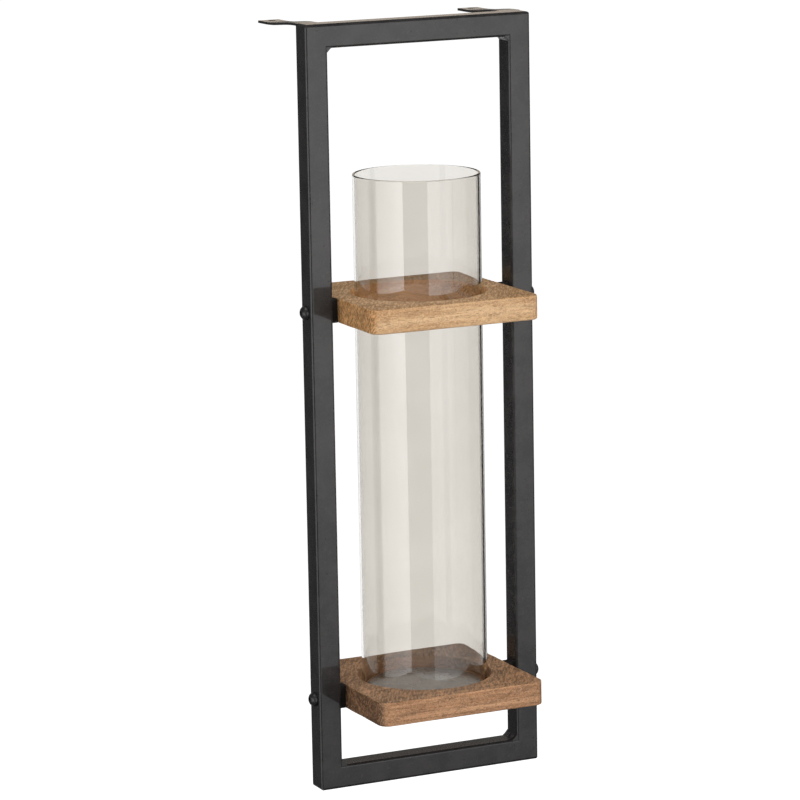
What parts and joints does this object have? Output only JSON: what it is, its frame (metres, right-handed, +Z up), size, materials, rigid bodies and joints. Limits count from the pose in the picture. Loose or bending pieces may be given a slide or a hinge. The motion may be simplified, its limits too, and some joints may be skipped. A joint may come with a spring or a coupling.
{
  "type": "wall sconce candle holder",
  "caption": "Tall welded steel frame with hanger straps, carrying wooden trays and a lift-up glass chimney over a recessed candle plate.",
  "frame": {"origin": "on the wall plane, midway between the two hanger straps, level with the top of the frame", "axes": "+X to the right seen from the room, +Y into the wall, +Z up along the posts"},
  "size_m": [0.2036, 0.1545, 0.61],
  "materials": {
    "frame_paint": "charcoal black powder coat, semi-gloss",
    "screw_black": "black, satin",
    "plate_black": "black enamel, glossy",
    "honey_wood": "light honey brown, open grain, matt",
    "brown_wood": "redder brown, open grain, matt",
    "clear_glass": "clear, faintly warm"
  },
  "bodies": {
    "frame": {"top_rail": "frame_paint", "bottom_rail": "frame_paint", "left_post": "frame_paint", "right_post": "frame_paint", "upper_left_corner_weld": "frame_paint", "upper_right_corner_weld": "frame_paint", "lower_left_corner_weld": "frame_paint", "lower_right_corner_weld": "frame_paint", "left_hanger_strap": "frame_paint", "right_hanger_strap": "frame_paint", "left_strap_weld": "frame_paint", "right_strap_weld": "frame_paint", "upper_left_spacer": "frame_paint", "upper_right_spacer": "frame_paint", "lower_left_spacer": "frame_paint", "lower_right_spacer": "frame_paint", "upper_left_screw": "screw_black", "upper_right_screw": "screw_black", "lower_left_screw": "screw_black", "lower_right_screw": "screw_black", "upper_tray": "honey_wood", "lower_tray": "brown_wood", "candle_plate": "plate_black"},
    "chimney": {"glass_chimney": "clear_glass"}
  },
  "joints": [
    {"name": "chimney_lift", "type": "slide", "parent": "frame", "child": "chimney", "axis": [0, 0, 1], "range_m": [0, 0.1]}
  ]
}
